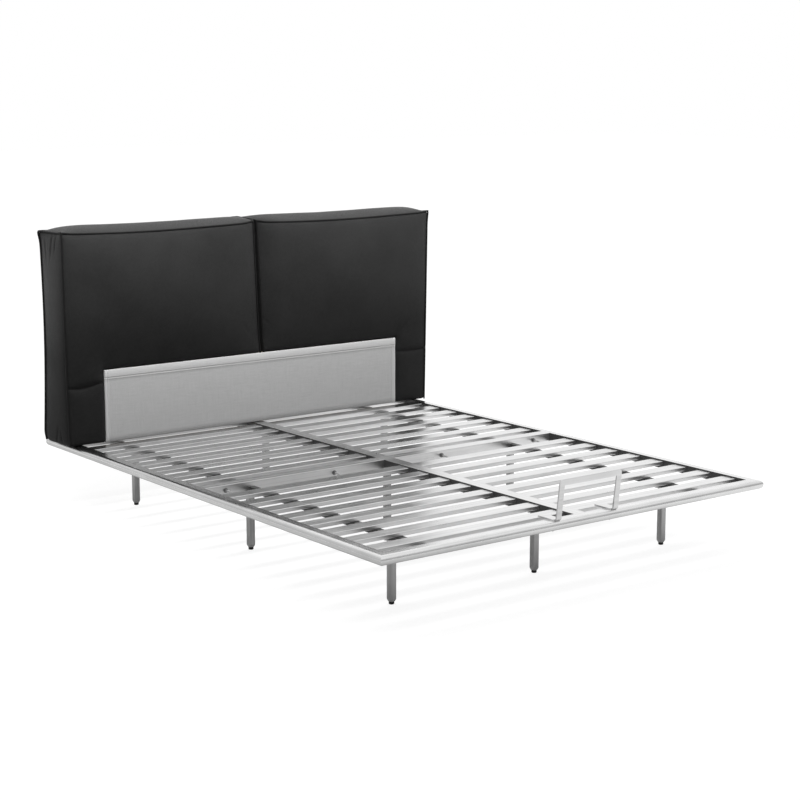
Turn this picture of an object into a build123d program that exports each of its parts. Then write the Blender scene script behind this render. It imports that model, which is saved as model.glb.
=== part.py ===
from build123d import *
import os
from math import radians, tan

# Platform bed: steel slatted frame in two halves, nine legs, split padded headboard.
# Millimetres. X runs across the bed, Y towards the headboard, Z up, origin on the floor under the middle.

# Perimeter rail, flat on top with a half-round outer edge
frame_width = 1760.0
frame_length = 2316.0
deck_height = 263.0
rail_width = 45.0
rail_height = 34.0
rail_wall = 1.5

# Slats, centre beam, cross tubes and bearers
slat_drop = 5.0
slat_width = 60.0
slat_thickness = 15.0
slat_wall = 1.2
slat_corner = 2.5
slats_per_bank = 8
head_first_slat = 119.0
head_last_slat = 119.0
foot_first_slat = 155.0
foot_last_slat = 83.0
girder_height = 40.0
beam_width = 50.0
cross_width = 25.0
bearer_width = 25.0
tube_wall = 1.5
tube_corner = 2.0

# Legs, three rows of three
leg_side_inset = 248.0
foot_leg_inset = 275.0
head_leg_inset = 300.0
leg_size = 25.0
leg_wall = 1.5
leg_corner = 4.0
flange_length = 84.0
flange_thickness = 4.0
flange_hole_spread = 58.0

# Levelling feet and the plugs that carry them
pad_height = 10.0
pad_diameter = 19.0
pad_edge = 1.5
plug_taper = 8.0
plug_end = 19.0
plug_skirt = 20.0
plug_fit = 0.2
stud_diameter = 8.0
stud_length = 40.0
seat_gap = 0.2

# Fasteners
bolt_diameter = 8.0
bolt_play = 0.25
hex_across = 13.0
hex_height = 5.5
nut_height = 6.5
nut_bore_play = 0.1
leg_bolt_length = 20.0
washer_diameter = 18.0
washer_thickness = 1.6

# Long bolts that join the two cross tubes, their ends standing out towards the foot
cross_bolt_inner = 261.0
cross_bolt_side_inset = 135.0
cross_bolt_length = 90.0
cross_bolt_end = 1.2

# Mattress stop
stop_width = 284.0
stop_height = 146.0
stop_bar = 22.0
stop_thickness = 5.0
stop_lean = 7.0
stop_bend = 4.0
stop_corner = 14.0
stop_setback = 5.0
stop_foot_length = 86.0
stop_foot_width = 36.0
stop_stud_diameter = 6.0
stop_stud_end = 8.0
stop_stud_inset = 34.0
stop_nut_across = 10.0
stop_nut_height = 5.0

# Headboard outline, standing on the side rails
board_height = 856.0
board_overhang = 18.0
board_flare = 15.0
board_front = 250.0
board_foot_depth = 196.0
board_top_depth = 166.0
board_split = 1.0
corner_height = 238.0
cushion_crown = 28.0
edge_crown = 8.0
corner_crown = 5.0
top_crown = 20.0
corner_rise = 6.0
side_draw = 5.0
leather = 3.0
foam_gap = 0.3
seam_gap = 0.8

# Headboard timber
post_width = 60.0
post_depth = 66.0
inner_post_width = 45.0
timber_height = 45.0
front_foam = 77.0
timber_top_gap = 34.0
pocket_gap = 4.0
back_ply = 9.0
post_bolt_length = 80.0
post_bolt_pitch = 34.0

# Grey panel between the lower corners
panel_side_inset = 147.0
panel_height = 294.0
panel_lift = 3.0
panel_fabric = 3.0
panel_ply = 12.0
batten_height = 40.0

# Levels and lines worked out from the sizes above
half_width = frame_width / 2
half_length = frame_length / 2
rail_bottom = deck_height - rail_height
inner_x = half_width - rail_width
inner_y = half_length - rail_width
slat_top = deck_height - slat_drop
slat_bottom = slat_top - slat_thickness
girder_bottom = deck_height - girder_height
bearer_height = slat_bottom - girder_bottom
rail_flat = rail_width - rail_height / 2
leg_spread = half_width - leg_side_inset
leg_rows = {
    "foot": -half_length + foot_leg_inset,
    "middle": -cross_width / 2,
    "head": half_length - head_leg_inset,
}
leg_lines = {"left": -leg_spread, "center": 0.0, "right": leg_spread}
cross_bolt_outer = half_width - cross_bolt_side_inset
cross_bolt_spots = [-cross_bolt_outer, -cross_bolt_inner, cross_bolt_inner, cross_bolt_outer]
cross_bolt_level = girder_bottom + girder_height / 2
plug_bottom = pad_height + seat_gap
leg_bottom = plug_bottom + plug_taper
leg_top = girder_bottom - flange_thickness
board_foot_width = frame_width + 2 * board_overhang
board_top_width = board_foot_width + 2 * board_flare
panel_width = frame_width - 2 * panel_side_inset
post_centre = inner_x + rail_flat / 2
front_y = half_length - board_front
board_bottom = deck_height
board_top = board_bottom + board_height
corner_top = board_bottom + corner_height
timber_y = front_y + front_foam + post_depth
bolt_hole = bolt_diameter / 2 + bolt_play

nodes = {}


def mirrored(shape):
    return mirror(shape, about=Plane.YZ)


def box(x, y, z):
    low = (min(x), min(y), min(z))
    size = (max(x) - min(x), max(y) - min(y), max(z) - min(z))
    return Pos(*low) * Box(*size, align=(Align.MIN, Align.MIN, Align.MIN))


def rod(x, y, z_low, z_high, radius):
    return Pos(x, y, z_low) * Cylinder(radius, z_high - z_low, align=(Align.CENTER, Align.CENTER, Align.MIN))


def rod_along_y(x, z, y_low, y_high, radius):
    plane = Plane(origin=(x, y_low, z), x_dir=(1, 0, 0), z_dir=(0, 1, 0))
    return extrude(plane * Circle(radius), amount=y_high - y_low)


def tube_section(width, height, wall, corner):
    return RectangleRounded(width, height, corner) - Rectangle(width - 2 * wall, height - 2 * wall)


def tube_along_x(section, x_low, x_high, y, z):
    plane = Plane(origin=(x_low, y, z), x_dir=(0, 1, 0), z_dir=(1, 0, 0))
    return extrude(plane * section, amount=x_high - x_low)


def tube_along_y(section, y_low, y_high, x, z):
    plane = Plane(origin=(x, y_low, z), x_dir=(-1, 0, 0), z_dir=(0, 1, 0))
    return extrude(plane * section, amount=y_high - y_low)


def hexagon(across, height):
    return extrude(RegularPolygon(across / 2, 6, major_radius=False), amount=height)


# Perimeter rail: the section's flat part lies inside, its half-round edge outside
def rail_outline(inset):
    low = inset
    high = rail_height - inset
    nose = ThreePointArc((rail_flat, low), (rail_width - inset, rail_height / 2), (rail_flat, high))
    body = Polyline((rail_flat, high), (inset, high), (inset, low), (rail_flat, low))
    return make_face([*nose.edges(), *body.edges()])


def rail_profile():
    return rail_outline(0) - rail_outline(rail_wall)


def mitre_prism(*corners):
    return Pos(0, 0, rail_bottom) * extrude(Polygon(*corners, align=None), amount=rail_height)


def foot_end_rail():
    plane = Plane(origin=(half_width, -inner_y, rail_bottom), x_dir=(0, -1, 0), z_dir=(-1, 0, 0))
    bar = extrude(plane * rail_profile(), amount=frame_width)
    outer = [(-half_width, -half_length), (half_width, -half_length)]
    inner = [(inner_x, -inner_y), (-inner_x, -inner_y)]
    return bar & mitre_prism(*outer, *inner)


def left_foot_rail():
    plane = Plane(origin=(-inner_x, -half_length, rail_bottom), x_dir=(-1, 0, 0), z_dir=(0, 1, 0))
    bar = extrude(plane * rail_profile(), amount=half_length)
    corners = [(-half_width, -half_length), (-inner_x, -inner_y), (-inner_x, 0), (-half_width, 0)]
    return bar & mitre_prism(*corners)


def post_bolt_spots():
    middle = timber_y - post_depth / 2
    return [(side * post_centre, middle + step * post_bolt_pitch / 2) for side in (-1, 1) for step in (-1, 1)]


def stop_stud_spots():
    offset = stop_width / 2 - stop_bar / 2
    return [(side * offset, -half_length + stop_stud_inset) for side in (-1, 1)]


def add_rails():
    foot_rail = foot_end_rail()
    for x, y in stop_stud_spots():
        foot_rail -= rod(x, y, rail_bottom, deck_height, stop_stud_diameter / 2 + bolt_play)
    left_foot = left_foot_rail()
    left_head = mirror(left_foot, about=Plane.XZ)
    for x, y in post_bolt_spots()[:2]:
        left_head -= rod(x, y, rail_bottom, deck_height, bolt_hole)
    nodes["foot_rail"] = foot_rail
    nodes["head_rail"] = mirror(foot_end_rail(), about=Plane.XZ)
    nodes["left_foot_side_rail"] = left_foot
    nodes["right_foot_side_rail"] = mirrored(left_foot)
    nodes["left_head_side_rail"] = left_head
    nodes["right_head_side_rail"] = mirrored(left_head)


# Legs stand under the bearers, the centre beam and the foot half's cross tube
def flange_holes(line, row):
    step = flange_hole_spread / 2
    x = leg_lines[line]
    y = leg_rows[row]
    if row == "middle":
        return [(x - step, y), (x + step, y)]
    return [(x, y - step), (x, y + step)]


def bore_for_leg(member, line, row):
    for x, y in flange_holes(line, row):
        member -= rod(x, y, girder_bottom, girder_bottom + tube_wall, bolt_hole)
    return member


def add_girders():
    beam_section = tube_section(beam_width, girder_height, tube_wall, tube_corner)
    cross_section = tube_section(cross_width, girder_height, tube_wall, tube_corner)
    bearer_section = tube_section(bearer_width, bearer_height, tube_wall, tube_corner)
    girder_middle = girder_bottom + girder_height / 2
    bearer_middle = girder_bottom + bearer_height / 2
    spans = {"foot": (-inner_y, -cross_width), "head": (cross_width, inner_y)}
    for half, (start, end) in spans.items():
        beam = tube_along_y(beam_section, start, end, 0, girder_middle)
        nodes[f"{half}_center_beam"] = bore_for_leg(beam, "center", half)
        for side, x in (("left", -leg_spread), ("right", leg_spread)):
            bearer = tube_along_y(bearer_section, start, end, x, bearer_middle)
            nodes[f"{half}_{side}_bearer"] = bore_for_leg(bearer, side, half)
    foot_cross = tube_along_x(cross_section, -inner_x, inner_x, -cross_width / 2, girder_middle)
    head_cross = tube_along_x(cross_section, -inner_x, inner_x, cross_width / 2, girder_middle)
    for line in leg_lines:
        foot_cross = bore_for_leg(foot_cross, line, "middle")
    for x in cross_bolt_spots:
        foot_cross -= rod_along_y(x, cross_bolt_level, -cross_width, 0, bolt_hole)
        head_cross -= rod_along_y(x, cross_bolt_level, 0, cross_width, bolt_hole)
    nodes["foot_cross_tube"] = foot_cross
    nodes["head_cross_tube"] = head_cross


def add_slats():
    section = tube_section(slat_width, slat_thickness, slat_wall, slat_corner)
    level = slat_bottom + slat_thickness / 2
    rows = {
        "foot": (-foot_first_slat, foot_last_slat - inner_y),
        "head": (head_first_slat, inner_y - head_last_slat),
    }
    banks = {"left": (-inner_x, -beam_width / 2), "right": (beam_width / 2, inner_x)}
    for half, (start, end) in rows.items():
        step = (end - start) / (slats_per_bank - 1)
        for side, (low, high) in banks.items():
            slats = [tube_along_x(section, low, high, start + step * i, level) for i in range(slats_per_bank)]
            nodes[f"{half}_{side}_slats"] = slats


def leg(line, row):
    x = leg_lines[line]
    y = leg_rows[row]
    shaft = extrude(tube_section(leg_size, leg_size, leg_wall, leg_corner), amount=leg_top - leg_bottom)
    flange = Rectangle(leg_size, flange_length)
    if row == "middle":
        flange = Rectangle(flange_length, leg_size)
    plate = Pos(x, y, leg_top) * extrude(flange, amount=flange_thickness)
    for hole_x, hole_y in flange_holes(line, row):
        plate -= rod(hole_x, hole_y, leg_top, girder_bottom, bolt_hole)
    return Pos(x, y, leg_bottom) * shaft + plate


def leg_plug():
    end = RectangleRounded(plug_end, plug_end, leg_corner)
    top = Pos(0, 0, plug_taper) * RectangleRounded(leg_size, leg_size, leg_corner)
    skirt_size = leg_size - 2 * leg_wall - 2 * plug_fit
    skirt = Pos(0, 0, plug_taper) * extrude(Rectangle(skirt_size, skirt_size), amount=plug_skirt)
    bore = rod(0, 0, 0, plug_taper + plug_skirt, stud_diameter / 2 + seat_gap)
    return loft([end, top]) + skirt - bore


def levelling_foot():
    pad = Cylinder(pad_diameter / 2, pad_height, align=(Align.CENTER, Align.CENTER, Align.MIN))
    pad = chamfer(pad.edges().filter_by(GeomType.CIRCLE), pad_edge)
    return pad + rod(0, 0, pad_height, pad_height + stud_length, stud_diameter / 2)


def leg_bolt(x, y):
    head = Pos(x, y, leg_top - hex_height) * hexagon(hex_across, hex_height)
    return head + rod(x, y, leg_top, leg_top + leg_bolt_length, bolt_diameter / 2)


def nut(across, height, thread):
    return hexagon(across, height) - rod(0, 0, 0, height, thread / 2 + nut_bore_play)


def add_legs():
    plugs = []
    bolts = []
    nuts = []
    for row, y in leg_rows.items():
        for line, x in leg_lines.items():
            nodes[f"{row}_{line}_leg"] = leg(line, row)
            nodes[f"{row}_{line}_levelling_foot"] = Pos(x, y, 0) * levelling_foot()
            plugs.append(Pos(x, y, plug_bottom) * leg_plug())
            for hole_x, hole_y in flange_holes(line, row):
                bolts.append(leg_bolt(hole_x, hole_y))
                weld_nut = nut(hex_across, nut_height, bolt_diameter)
                nuts.append(Pos(hole_x, hole_y, girder_bottom + tube_wall) * weld_nut)
    nodes["leg_plugs"] = plugs
    nodes["leg_bolts"] = bolts
    nodes["leg_weld_nuts"] = nuts


# Cross bolts: head and washer behind the head half's tube, nut and washer before the foot half's
def cross_bolt(x):
    seat = cross_width + washer_thickness
    under_head = Plane(origin=(x, seat, cross_bolt_level), x_dir=(1, 0, 0), z_dir=(0, 1, 0))
    shank = rod_along_y(x, cross_bolt_level, seat - cross_bolt_length, seat, bolt_diameter / 2)
    tip = shank.edges().filter_by(GeomType.CIRCLE).sort_by(Axis.Y)[0]
    return chamfer(tip, cross_bolt_end) + under_head * hexagon(hex_across, hex_height)


def add_cross_bolts():
    washers = []
    nuts = []
    ring = Circle(washer_diameter / 2) - Circle(bolt_hole)
    for x in cross_bolt_spots:
        front = Plane(origin=(x, -cross_width, cross_bolt_level), x_dir=(1, 0, 0), z_dir=(0, -1, 0))
        back = Plane(origin=(x, cross_width, cross_bolt_level), x_dir=(1, 0, 0), z_dir=(0, 1, 0))
        washers.append(extrude(front * ring, amount=washer_thickness))
        washers.append(extrude(back * ring, amount=washer_thickness))
        nuts.append(front.offset(washer_thickness) * nut(hex_across, nut_height, bolt_diameter))
    nodes["cross_bolts"] = [cross_bolt(x) for x in cross_bolt_spots]
    nodes["cross_bolt_nuts"] = nuts
    nodes["cross_bolt_washers"] = washers


# Mattress stop: a loop of flat bar, bent outwards a little from its two feet, on two welded studs
def stop_profile():
    toe = -half_length + stop_setback
    lean = stop_height * tan(radians(stop_lean))
    low = deck_height
    top = deck_height + stop_height
    outer = [(toe + stop_foot_length, low), (toe, low), (toe - lean, top)]
    inner = [(toe - lean + stop_thickness, top), (toe + stop_thickness, low + stop_thickness)]
    end = [(toe + stop_foot_length, low + stop_thickness)]
    strip = Polygon(*outer, *inner, *end, align=None)
    heel = strip.vertices().sort_by_distance((toe, low, 0))[0]
    strip = fillet(heel, stop_bend + stop_thickness)
    crook = strip.vertices().sort_by_distance((toe + stop_thickness, low + stop_thickness, 0))[0]
    return fillet(crook, stop_bend)


def mattress_stop():
    plane = Plane(origin=(0, 0, 0), x_dir=(0, 1, 0), z_dir=(1, 0, 0))
    strip = plane * stop_profile()
    half = stop_width / 2
    toe = -half_length + stop_setback
    top = deck_height + stop_height
    sheet = extrude(strip, amount=half, both=True)
    corners = sheet.edges().filter_by(Axis.Y).group_by(Axis.Z)[-1]
    top_edges = [edge for edge in corners if abs(abs(edge.center().X) - half) < stop_thickness]
    sheet = fillet(top_edges, stop_corner)
    window = box((-half + stop_bar, half - stop_bar), (-half_length - stop_height, 0), (0, top - stop_bar))
    reach = (toe + stop_thickness + stop_bend, 0)
    upright = sheet - window - box((-half, half), reach, (0, top))
    foot = extrude(strip, amount=stop_foot_width / 2, both=True)
    foot &= box((-half, half), reach, (0, top))
    for side in (-1, 1):
        upright += Pos(side * (half - stop_bar / 2), 0, 0) * foot
    for x, y in stop_stud_spots():
        upright += rod(x, y, rail_bottom - stop_stud_end, deck_height, stop_stud_diameter / 2)
    return upright


def stop_nut(x, y):
    return Pos(x, y, rail_bottom - stop_nut_height) * nut(stop_nut_across, stop_nut_height, stop_stud_diameter)


def add_stop():
    nodes["mattress_stop"] = mattress_stop()
    nodes["stop_nuts"] = [stop_nut(x, y) for x, y in stop_stud_spots()]


# Headboard cushions: lofts through upright sections set side by side along X
def side_at(z):
    share = (z - board_bottom) / board_height
    return (board_foot_width + share * (board_top_width - board_foot_width)) / 2


def back_at(z):
    share = (z - board_bottom) / board_height
    return front_y + board_foot_depth + share * (board_top_depth - board_foot_depth)


def cushion_section(place, levels, crown, inset):
    low, high, rise = levels
    front = front_y + inset
    middle = (low + high) / 2
    ridge = (front + back_at(high) - inset) / 2
    bulge = front_y - crown + inset

    def point(y, z):
        return (place(z), y, z)

    back_top = point(back_at(high) - inset, high)
    back_low = point(back_at(low) - inset, low)
    back = Line(back_top, back_low)
    base = Line(back_low, point(front, low))
    face = ThreePointArc(point(front, low), point(bulge, middle), point(front, high))
    top = ThreePointArc(point(front, high), point(ridge, high + rise), back_top)
    return make_face([back, base, face, top])


def cushion(x_inner, levels, crown, end_crown, inset):
    def inner(z):
        return -x_inner - inset

    def outer(z):
        return -side_at(z) + inset

    def middle(z):
        return (inner(z) + outer(z)) / 2

    crowns = ((inner, end_crown), (middle, crown), (outer, end_crown))
    solid = loft([cushion_section(place, levels, amount, inset) for place, amount in crowns])
    return solid - side_hollow(inset)


def side_hollow(inset):
    depth = board_foot_depth / 2
    radius = (depth**2 + side_draw**2) / (2 * side_draw)
    middle = front_y + depth
    x = -board_foot_width / 2 + side_draw + inset - radius
    tilt = (board_top_width - board_foot_width) / 2 / board_height
    axis = Plane(origin=(x, middle, board_bottom), z_dir=(-tilt, 0, 1))
    return extrude(axis * Circle(radius), amount=2 * board_height, both=True)


def panel_notch(gap):
    edge = panel_width / 2 + gap
    return box((-edge, edge), (0, timber_y), (0, board_bottom + panel_lift + panel_height + gap))


def timber_pocket(x_inner, gap):
    outer = post_centre + post_width / 2 + gap
    back = timber_y + back_ply + gap
    front = timber_y - post_depth - gap
    return box((-outer, -x_inner), (front, back), (0, board_top - timber_top_gap + gap))


def upper_cover():
    low = corner_top + seam_gap
    edge = board_split / 2
    outer = cushion(edge, (low, board_top, top_crown), cushion_crown, edge_crown, 0)
    levels = (low - leather, board_top - leather, top_crown)
    inner = cushion(edge, levels, cushion_crown, edge_crown, leather)
    return outer - inner - panel_notch(seam_gap)


def upper_foam():
    inset = leather + foam_gap
    low = corner_top + seam_gap
    levels = (low, board_top - inset, top_crown)
    core = cushion(board_split / 2, levels, cushion_crown, edge_crown, inset)
    return core - panel_notch(seam_gap) - timber_pocket(board_split / 2 + 2 * inset, pocket_gap)


def lower_cover():
    edge = panel_width / 2 + seam_gap
    low = board_bottom + seam_gap
    outer = cushion(edge, (low, corner_top - corner_rise, corner_rise), corner_crown, corner_crown, 0)
    open_edge = edge - 2 * leather
    levels = (low - leather, corner_top + leather, corner_rise)
    inner = cushion(open_edge, levels, corner_crown, corner_crown, leather)
    return outer - inner


def lower_foam():
    inset = leather + foam_gap
    edge = panel_width / 2 + seam_gap
    low = board_bottom + seam_gap
    levels = (low, corner_top - corner_rise - inset, corner_rise)
    core = cushion(edge, levels, corner_crown, corner_crown, inset)
    return core - timber_pocket(edge - inset, pocket_gap)


def left_timber():
    depth = (timber_y - post_depth, timber_y)
    top = board_top - timber_top_gap
    bottom = board_bottom + panel_lift
    outer = -post_centre - post_width / 2
    inner = -board_split / 2 - 2 * (leather + foam_gap) - pocket_gap
    rail = (outer + post_width, inner - inner_post_width)
    panel_top = bottom + panel_height
    post = box((outer, outer + post_width), depth, (board_bottom, top))
    for x, y in post_bolt_spots()[:2]:
        post -= rod(x, y, board_bottom, board_bottom + post_bolt_length, bolt_hole)
    pieces = [post, box((inner - inner_post_width, inner), depth, (bottom, top))]
    pieces.append(box(rail, depth, (top - timber_height, top)))
    for z in (bottom, panel_top):
        pieces.append(box(rail, depth, (z, z + timber_height)))
    batten_y = (front_y + panel_fabric + panel_ply, timber_y - post_depth)
    batten_x = (-panel_width / 2 + pocket_gap, inner)
    pieces.append(box(batten_x, batten_y, (bottom, bottom + batten_height)))
    pieces.append(box(batten_x, batten_y, (panel_top - batten_height, panel_top)))
    return pieces


def left_back_board():
    outer = -post_centre - post_width / 2
    inner = -board_split / 2 - 2 * (leather + foam_gap) - pocket_gap
    top = board_top - timber_top_gap
    return box((outer, inner), (timber_y, timber_y + back_ply), (board_bottom + panel_lift, top))


def post_bolt(x, y):
    head = Pos(x, y, rail_bottom - hex_height) * hexagon(hex_across, hex_height)
    return head + rod(x, y, rail_bottom, board_bottom + post_bolt_length, bolt_diameter / 2)


def add_headboard():
    pairs = {
        "upper_cover": [upper_cover()],
        "lower_cover": [lower_cover()],
        "foam": [upper_foam(), lower_foam()],
        "timber_frame": left_timber(),
        "back_board": [left_back_board()],
    }
    for name, pieces in pairs.items():
        nodes[f"headboard_left_{name}"] = pieces
        nodes[f"headboard_right_{name}"] = [mirrored(piece) for piece in pieces]
    bottom = board_bottom + panel_lift
    across = (-panel_width / 2, panel_width / 2)
    height = (bottom, bottom + panel_height)
    fabric_back = front_y + panel_fabric
    nodes["headboard_panel_fabric"] = box(across, (front_y, fabric_back), height)
    nodes["headboard_panel_board"] = box(across, (fabric_back, fabric_back + panel_ply), height)
    nodes["headboard_bolts"] = [post_bolt(x, y) for x, y in post_bolt_spots()]


def write_nodes():
    os.makedirs("parts", exist_ok=True)
    for name, shape in nodes.items():
        pieces = shape if isinstance(shape, list) else [shape]
        solids = [solid for piece in pieces for solid in piece.solids()]
        export_step(Compound(children=solids, label=name), f"parts/{name}.step")


add_rails()
add_girders()
add_slats()
add_legs()
add_cross_bolts()
add_stop()
add_headboard()
write_nodes()
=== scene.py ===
import bmesh
import bpy
from math import cos, exp, pi, radians, sin
from mathutils import Matrix, Vector, noise


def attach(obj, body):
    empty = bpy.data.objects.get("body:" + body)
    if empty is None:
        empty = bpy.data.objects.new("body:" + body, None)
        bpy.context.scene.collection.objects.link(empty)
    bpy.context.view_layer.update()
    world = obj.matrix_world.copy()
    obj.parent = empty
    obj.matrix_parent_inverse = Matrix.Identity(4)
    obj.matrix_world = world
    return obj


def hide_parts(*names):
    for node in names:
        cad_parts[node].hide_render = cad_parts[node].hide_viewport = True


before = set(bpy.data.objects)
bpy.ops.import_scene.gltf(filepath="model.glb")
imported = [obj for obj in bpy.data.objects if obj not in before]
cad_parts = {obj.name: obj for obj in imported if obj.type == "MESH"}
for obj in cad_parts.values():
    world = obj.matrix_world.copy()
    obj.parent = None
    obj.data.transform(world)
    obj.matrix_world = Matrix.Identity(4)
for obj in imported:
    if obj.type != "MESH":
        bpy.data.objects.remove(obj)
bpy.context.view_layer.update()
scene = bpy.context.scene
scene.view_settings.view_transform = "Standard"
print("frame loaded:", len(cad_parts), "nodes")


# small tools shared by the materials

def feed(tree, socket, value):
    if isinstance(value, bpy.types.NodeSocket):
        tree.links.new(value, socket)
    else:
        socket.default_value = value


def put(tree, kind, inputs=None, **settings):
    node = tree.nodes.new(kind)
    for key, value in settings.items():
        setattr(node, key, value)
    for key, value in (inputs or {}).items():
        feed(tree, node.inputs[key], value)
    return node


def calc(tree, operation, first, second=0.0):
    return put(tree, "ShaderNodeMath", {0: first, 1: second}, operation=operation).outputs[0]


def weighted(tree, first, firstShare, second, secondShare):
    parts = [calc(tree, "MULTIPLY", first, firstShare), calc(tree, "MULTIPLY", second, secondShare)]
    return calc(tree, "ADD", *parts)


def axesOf(tree, vector):
    return put(tree, "ShaderNodeSeparateXYZ", {0: vector}).outputs


def ramp(tree, value, low, high, outLow, outHigh):
    limits = {"Value": value, "From Min": low, "From Max": high, "To Min": outLow, "To Max": outHigh}
    return put(tree, "ShaderNodeMapRange", limits, clamp=True).outputs[0]


def blendColor(tree, factor, first, second):
    node = put(tree, "ShaderNodeMix", data_type="RGBA")
    feed(tree, node.inputs["Factor"], factor)
    feed(tree, node.inputs["A"], first)
    feed(tree, node.inputs["B"], second)
    return node.outputs["Result"]


def noiseAt(tree, vector, scale, detail=2.0, roughness=0.5):
    inputs = {"Vector": vector, "Scale": scale, "Detail": detail, "Roughness": roughness}
    return put(tree, "ShaderNodeTexNoise", inputs).outputs[0]


def stretched(tree, vector, scale):
    return put(tree, "ShaderNodeMapping", {"Vector": vector, "Scale": scale}).outputs[0]


def grey(level):
    return (level, level, level, 1.0)


def startGroup(name, inputs, outputs):
    group = bpy.data.node_groups.new(name, "ShaderNodeTree")
    for label, kind, value in inputs:
        socket = group.interface.new_socket(label, in_out="INPUT", socket_type=kind)
        if value is not None:
            socket.default_value = value
    for label in outputs:
        group.interface.new_socket(label, in_out="OUTPUT", socket_type="NodeSocketFloat")
    return group, group.nodes.new("NodeGroupInput").outputs, group.nodes.new("NodeGroupOutput").inputs


def startMaterial(name, **sockets):
    material = bpy.data.materials.new(name)
    material.use_nodes = True
    tree = material.node_tree
    shader = tree.nodes["Principled BSDF"]
    for label, value in sockets.items():
        shader.inputs[label.replace("_", " ")].default_value = value
    coords = tree.nodes.new("ShaderNodeTexCoord").outputs["Object"]
    return material, tree, shader, coords


def placeGroup(tree, group, inputs):
    return put(tree, "ShaderNodeGroup", inputs, node_tree=group).outputs


def addBump(tree, shader, height, strength, distance):
    bump = put(tree, "ShaderNodeBump", {"Height": height, "Strength": strength, "Distance": distance})
    tree.links.new(bump.outputs[0], shader.inputs["Normal"])


# brushed grain: the vector comes in already drawn out along the brush strokes

def makeBrushGroup():
    group, given, out = startGroup(
        "brushedGrain",
        [("Strokes", "NodeSocketVector", None), ("Place", "NodeSocketVector", None)],
        ["Shade", "Rough", "Height"],
    )
    fine = noiseAt(group, given["Strokes"], 1.0, 3.0, 0.6)
    broad = noiseAt(group, given["Strokes"], 0.09, 2.0, 0.5)
    cloud = noiseAt(group, given["Place"], 7.0, 3.0, 0.55)
    streak = weighted(group, fine, 0.45, broad, 0.55)
    feed(group, out["Shade"], weighted(group, streak, 0.7, cloud, 0.3))
    feed(group, out["Rough"], weighted(group, streak, 0.5, cloud, 0.5))
    feed(group, out["Height"], fine)
    return group


# leather grain: pebbled cells, fine creases and broad mottling

def makeLeatherGroup():
    group, given, out = startGroup(
        "leatherGrain",
        [("Place", "NodeSocketVector", None), ("Cells", "NodeSocketFloat", 420.0)],
        ["Tone", "Rough", "Height"],
    )
    wobble = put(group, "ShaderNodeTexNoise", {"Vector": given["Place"], "Scale": 160.0, "Detail": 1.0})
    shift = put(group, "ShaderNodeVectorMath", {0: wobble.outputs["Color"], "Scale": 0.003}, operation="SCALE")
    bent = put(group, "ShaderNodeVectorMath", {0: given["Place"], 1: shift.outputs[0]}, operation="ADD")
    spots = {"Vector": bent.outputs[0], "Scale": given["Cells"]}
    cells = put(group, "ShaderNodeTexVoronoi", spots, feature="DISTANCE_TO_EDGE")
    pebble = ramp(group, cells.outputs["Distance"], 0.0, 0.28, 0.0, 1.0)
    creases = noiseAt(group, given["Place"], 90.0, 5.0, 0.62)
    mottle = noiseAt(group, given["Place"], 5.0, 3.0, 0.55)
    feed(group, out["Tone"], weighted(group, mottle, 0.6, creases, 0.4))
    feed(group, out["Rough"], weighted(group, mottle, 0.7, pebble, 0.3))
    feed(group, out["Height"], weighted(group, pebble, 0.7, creases, 0.5))
    return group


# plain weave in the X-Z plane, with thicker threads here and there

def makeWeaveGroup():
    group, given, out = startGroup(
        "plainWeave",
        [("Place", "NodeSocketVector", None), ("Pitch", "NodeSocketFloat", 0.0016)],
        ["Tone", "Height"],
    )
    axes = axesOf(group, given["Place"])
    across = calc(group, "DIVIDE", axes["X"], given["Pitch"])
    upward = calc(group, "DIVIDE", axes["Z"], given["Pitch"])
    waves = [calc(group, "SINE", calc(group, "MULTIPLY", value, pi)) for value in (across, upward)]
    warp, weft = [calc(group, "ABSOLUTE", wave) for wave in waves]
    parity = calc(group, "ADD", calc(group, "FLOOR", across), calc(group, "FLOOR", upward))
    over = calc(group, "MODULO", calc(group, "ABSOLUTE", parity), 2.0)
    under = calc(group, "SUBTRACT", 1.0, over)
    lifted = weighted(group, warp, over, weft, under)
    slubUp = noiseAt(group, stretched(group, given["Place"], (260.0, 1.0, 14.0)), 1.0, 2.0)
    slubAcross = noiseAt(group, stretched(group, given["Place"], (14.0, 1.0, 260.0)), 1.0, 2.0)
    slub = calc(group, "MULTIPLY", calc(group, "ADD", slubUp, slubAcross), 0.5)
    feed(group, out["Tone"], weighted(group, slub, 0.65, lifted, 0.35))
    feed(group, out["Height"], calc(group, "ADD", lifted, calc(group, "MULTIPLY", slub, 0.6)))
    return group


brushGroup = makeBrushGroup()
leatherGroup = makeLeatherGroup()
weaveGroup = makeWeaveGroup()

steelLook = {
    "dark": 0.68, "light": 0.96, "roughLow": 0.25, "roughHigh": 0.37, "bump": 0.07,
    "paintedShadeTone": 0.12, "paintedShadeReach": 0.84, "paintedShadeRough": 0.2, "strokes": 850.0, "drawnOut": 2.6,
}


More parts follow.
